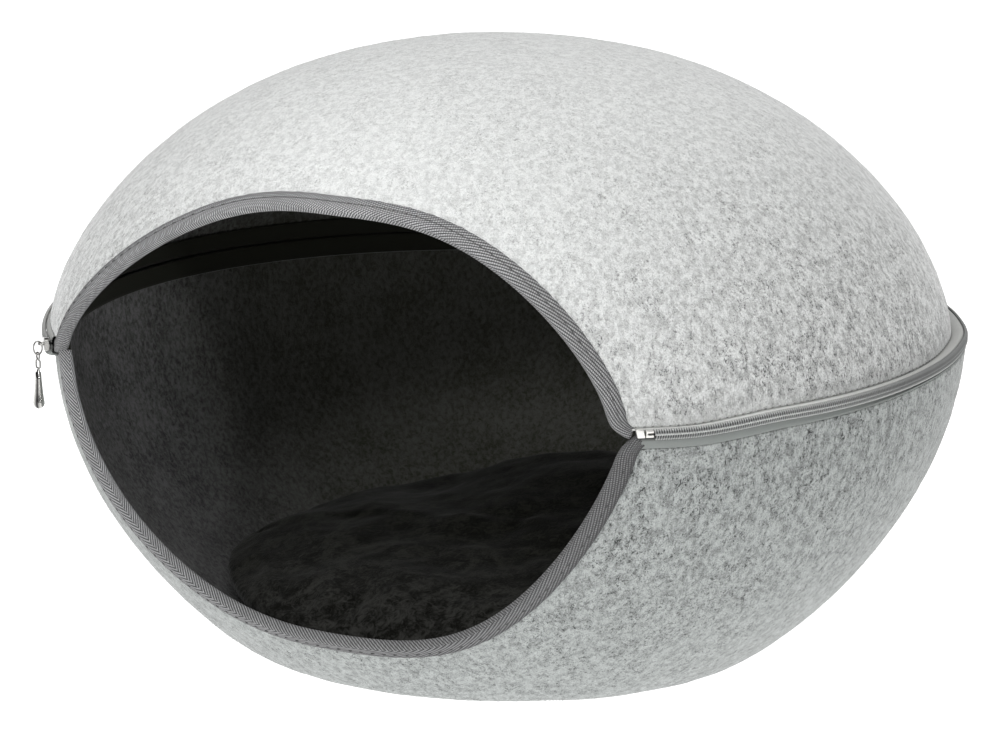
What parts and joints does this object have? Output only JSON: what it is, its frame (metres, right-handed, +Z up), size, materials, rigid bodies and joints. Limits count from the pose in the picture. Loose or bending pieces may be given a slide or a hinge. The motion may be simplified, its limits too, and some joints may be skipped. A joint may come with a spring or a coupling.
{
  "type": "felt pet basket",
  "caption": "Egg-shaped felt pet cave: a moulded dome zipped to a moulded bowl, with a taped mouth, dark felt lining and a loose fleece cushion.",
  "frame": {"origin": "on the floor, in the middle of the bowl's flat foot", "axes": "+Z up, +X across the width to the right of the mouth, and the mouth faces -Y"},
  "size_m": [0.596, 0.4957, 0.3775],
  "materials": {
    "pale_felt": "mottled pale grey wool felt with dark fibres",
    "dark_felt": "mottled charcoal felt",
    "twill_tape": "grey herringbone twill tape with a sewn line",
    "zip_tape": "pale grey woven zip tape",
    "zip_coil": "grey nylon coil",
    "black_tape": "black woven tape",
    "plated_metal": "bright plated metal",
    "fleece": "black brushed fleece"
  },
  "bodies": {
    "root": {"felt_dome": "pale_felt", "felt_bowl": "pale_felt", "dome_lining": "dark_felt", "bowl_lining": "dark_felt", "binding_upper": "twill_tape", "binding_lower": "twill_tape", "zip_tape_upper": "zip_tape", "zip_tape_lower": "zip_tape", "zip_coil_upper": "zip_coil", "zip_coil_lower": "zip_coil", "facing_upper": "black_tape", "facing_lower": "black_tape", "zip_box": "plated_metal", "zip_pin": "plated_metal", "zip_slider": "plated_metal", "pull_ring": "plated_metal", "pull_link": "plated_metal", "pull_drop": "plated_metal", "cushion": "fleece"}
  },
  "joints": []
}
